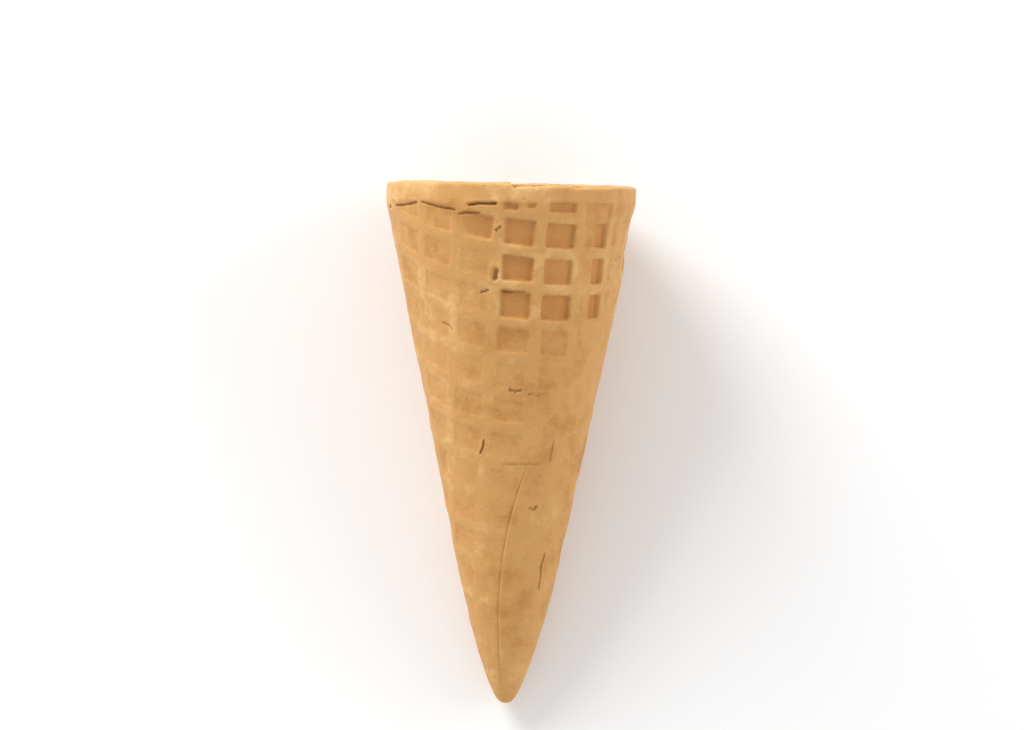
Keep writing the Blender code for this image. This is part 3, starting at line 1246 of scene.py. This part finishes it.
@dataclass(frozen=True)
class BakedWafer:
    """Dry baked batter: golden tan, browner in the pockets, paler on the ribs, with painted highlights,
    painted light and painted shade in its colour.
    """

    base: Colour = (0.640, 0.335, 0.105, 1.0)
    pale: Colour = (0.780, 0.465, 0.185, 1.0)
    # the browner bake colour, also used for the inside's darker tone and its painted shade
    toasted: Colour = (0.530, 0.245, 0.062, 1.0)
    floor: Colour = (0.550, 0.230, 0.060, 1.0)
    crumb: Colour = (0.690, 0.420, 0.170, 1.0)
    # dark brown of the cracks, also painted shade along the creases at the lap edge and the inner end
    split: Colour = (0.260, 0.105, 0.016, 1.0)
    browner: Span = (0.05, 0.85)
    paler: Span = (-0.05, -0.75)
    floor_share: float = 0.72
    # the inside's own darker tone, with painted shade in the hollow
    inside_tone_and_shade_share: float = 0.30
    crumb_share: float = 0.65
    mottle: Speckle = Speckle(210.0, 5.0, 0.62, (0.25, 0.75), (-0.42, 0.42))
    flecks: Speckle = Speckle(1300.0, 3.0, 0.65, (0.55, 0.75), (0.0, 0.34))
    specks: Speckle = Speckle(2100.0, 2.0, 0.6, (0.57, 0.78), (0.0, 0.34))
    matt: Speckle = Speckle(700.0, 3.0, 0.5, (0.3, 0.7), (0.48, 0.70))
    pores: Speckle = Speckle(2400.0, 2.0, 0.6, (0.30, 0.52), (0.0, 1.0))
    uneven: tuple[float, float, float] = (480.0, 4.0, 0.6)  # scale, detail and roughness
    pore_share: float = 0.30
    bump_strength: float = 0.7
    bump_distance: float = 0.18 * MM
    gloss: float = 0.3

    def material(self) -> bpy.types.Material:
        """Build the material.

        Returns:
            A material that reads the piece's masks and object coordinates.
        """
        material = bpy.data.materials.new("baked_wafer")
        material.use_nodes = True
        desk = NodeDesk(material.node_tree)
        shader = material.node_tree.nodes["Principled BSDF"]
        place = desk.add("ShaderNodeTexCoord").outputs["Object"]
        desk.feed(shader, "Base Color", self.colour(desk, place))
        desk.feed(shader, "Roughness", desk.speckle(place, self.matt))
        desk.feed(shader, "Normal", self.surface(desk, place))
        shader.inputs["Specular IOR Level"].default_value = self.gloss
        return material

    def colour(self, desk: NodeDesk, place: bpy.types.NodeSocket) -> bpy.types.NodeSocket:
        """Colour from the bake's patches, the pockets, the flecks and the cracks, with painted light on
        the band's left, painted highlights on ribs, and painted shade inside the hollow and in the
        creases.

        Args:
            desk: The material's nodes.
            place: Object coordinates.

        Returns:
            The colour socket.
        """
        baked = desk.maths("ADD", desk.mask(Mask.TOAST_AND_PAINTED_LIGHT), desk.speckle(place, self.mottle))
        colour = desk.blend(desk.ranged(baked, self.browner, (0.0, 1.0)), self.base, self.toasted)
        colour = desk.blend(desk.ranged(baked, self.paler, (0.0, 1.0)), colour, self.pale)
        for mask, share, tint in (
            (Mask.FLOOR, self.floor_share, self.floor),
            # the inside darkened toward the browner colour: its own darker tone, with painted shade in
            # the hollow
            (Mask.INSIDE, self.inside_tone_and_shade_share, self.toasted),
            (Mask.CRUMB, self.crumb_share, self.crumb),
        ):
            colour = desk.blend(desk.maths("MULTIPLY", desk.mask(mask), share), colour, tint)
        colour = desk.blend(desk.speckle(place, self.flecks), colour, self.floor)
        colour = desk.blend(desk.speckle(place, self.specks), colour, self.pale)
        return desk.blend(desk.mask(Mask.CRACK_AND_CREASE_SHADE), colour, self.split)

    def surface(self, desk: NodeDesk, place: bpy.types.NodeSocket) -> bpy.types.NodeSocket:
        """Normal from fine pores over soft unevenness.

        Args:
            desk: The material's nodes.
            place: Object coordinates.

        Returns:
            The normal socket.
        """
        uneven = desk.noise(place, *self.uneven)
        pores = desk.speckle(place, self.pores)
        bump = desk.add("ShaderNodeBump")
        desk.feed(bump, "Strength", self.bump_strength)
        desk.feed(bump, "Distance", self.bump_distance)
        desk.feed(bump, "Height", desk.maths("MULTIPLY_ADD", pores, self.pore_share, uneven))
        return bump.outputs["Normal"]


@dataclass(frozen=True)
class PlainPaper:
    """The pale matte sweep under the cone."""

    tint: Colour = (0.93, 0.93, 0.93, 1.0)
    roughness: float = 0.9
    gloss: float = 0.1

    def material(self) -> bpy.types.Material:
        """Build the material.

        Returns:
            A plain pale material.
        """
        material = bpy.data.materials.new("plain_paper")
        material.use_nodes = True
        shader = material.node_tree.nodes["Principled BSDF"]
        shader.inputs["Base Color"].default_value = self.tint
        shader.inputs["Roughness"].default_value = self.roughness
        shader.inputs["Specular IOR Level"].default_value = self.gloss
        return material


# ---------------------------------------------------------------- stage


@dataclass(frozen=True)
class SoftLight:
    """One square soft box."""

    name: str
    place: tuple[float, float, float]
    side: float
    watts: float


@dataclass
class Studio:
    """Floor, soft light and camera."""

    form: ConeForm
    floor_side: float = 6.0
    floor_gap: float = 0.05 * MM
    sky_low: float = 1.0
    sky_overhead: float = 0.62
    sky_heights: Span = (0.0, 0.9)
    boxes: tuple[SoftLight, ...] = (
        SoftLight("key_box", (-0.62, 0.80, 0.62), 0.55, 9.5),
        SoftLight("side_box", (0.95, 0.20, 0.50), 0.60, 2.5),
    )
    aim_along: float = 39.1 * MM
    aim_right: float = 0.5 * MM
    distance: float = 0.9
    over_rim: float = math.radians(0.5)
    roll: float = math.radians(-0.73)
    view_width: float = 221.17 * MM  # what the view takes in at the cone
    sensor: float = 36.0

    def build(self) -> None:
        """Make the floor, the lights and the camera."""
        self.lay_floor()
        self.light()
        self.set_camera()

    def lay_floor(self) -> None:
        """A pale level floor just under the cone."""
        shape = bmesh.new()
        bmesh.ops.create_grid(shape, x_segments=1, y_segments=1, size=self.floor_side / 2.0)
        bmesh.ops.translate(shape, verts=shape.verts, vec=(0.0, 0.0, -self.floor_gap))
        mesh = bpy.data.meshes.new("pale_floor")
        shape.to_mesh(mesh)
        shape.free()
        mesh.materials.append(PlainPaper().material())
        floor = bpy.data.objects.new("pale_floor", mesh)
        bpy.context.scene.collection.objects.link(floor)

    def light(self) -> None:
        """A white sky with soft boxes that aim at the cone."""
        world = bpy.data.worlds.new("white_sky")
        world.use_nodes = True
        desk = NodeDesk(world.node_tree)
        sky = world.node_tree.nodes["Background"]
        sky.inputs["Color"].default_value = (1.0, 1.0, 1.0, 1.0)
        split = desk.add("ShaderNodeSeparateXYZ")
        desk.feed(split, 0, desk.add("ShaderNodeTexCoord").outputs["Generated"])
        strength = (self.sky_low, self.sky_overhead)
        desk.feed(sky, "Strength", desk.ranged(split.outputs["Z"], self.sky_heights, strength))
        bpy.context.scene.world = world
        for box in self.boxes:
            lamp = bpy.data.lights.new(box.name, "AREA")
            lamp.size = box.side
            lamp.energy = box.watts
            holder = bpy.data.objects.new(box.name, lamp)
            holder.location = box.place
            holder.rotation_euler = (-Vector(box.place)).to_track_quat("-Z", "Y").to_euler()
            bpy.context.scene.collection.objects.link(holder)

    def set_camera(self) -> None:
        """A long lens that looks down on the shown side, almost square to the axis."""
        placement = self.form.placement()
        rim = placement.to_translation()
        toward_mouth = (placement.to_3x3() @ Vector((0.0, 1.0, 0.0))).normalized()
        outward = (placement.to_3x3() @ Vector((0.0, 0.0, 1.0))).normalized()
        rise = self.distance * math.tan(self.over_rim)
        eye = rim + outward * self.distance + toward_mouth * rise
        aim = rim - toward_mouth * self.aim_along + Vector((self.aim_right, 0.0, 0.0))
        look = (aim - eye).normalized()
        up = Matrix.Rotation(self.roll, 3, look) @ toward_mouth
        right = look.cross(up).normalized()
        turn = Matrix((right, right.cross(look), -look)).transposed()
        camera = bpy.data.cameras.new("view")
        camera.sensor_width = self.sensor
        camera.lens = (aim - eye).length * self.sensor / self.view_width
        holder = bpy.data.objects.new("view", camera)
        holder.matrix_world = Matrix.Translation(eye) @ turn.to_4x4()
        bpy.context.scene.collection.objects.link(holder)
        bpy.context.scene.camera = holder
        bpy.context.scene.view_settings.view_transform = "Standard"


# ---------------------------------------------------------------- the scene


def main() -> None:
    """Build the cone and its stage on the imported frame."""
    logging.basicConfig(level=logging.INFO, format="%(message)s")
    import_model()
    form = ConeForm()
    pattern = WafflePattern(form)
    outer = OuterRelief(form, pattern)
    inner = InnerRelief(form, pattern)
    cone = RolledWafer(form, outer, inner, LapEdge(form)).build()
    cone.data.materials.append(BakedWafer().material())
    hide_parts(NODE)
    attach(cone, "root")
    LOG.info("piece %s replaces %s", cone.name, NODE)
    Studio(form).build()


if __name__ == "__main__":
    main()
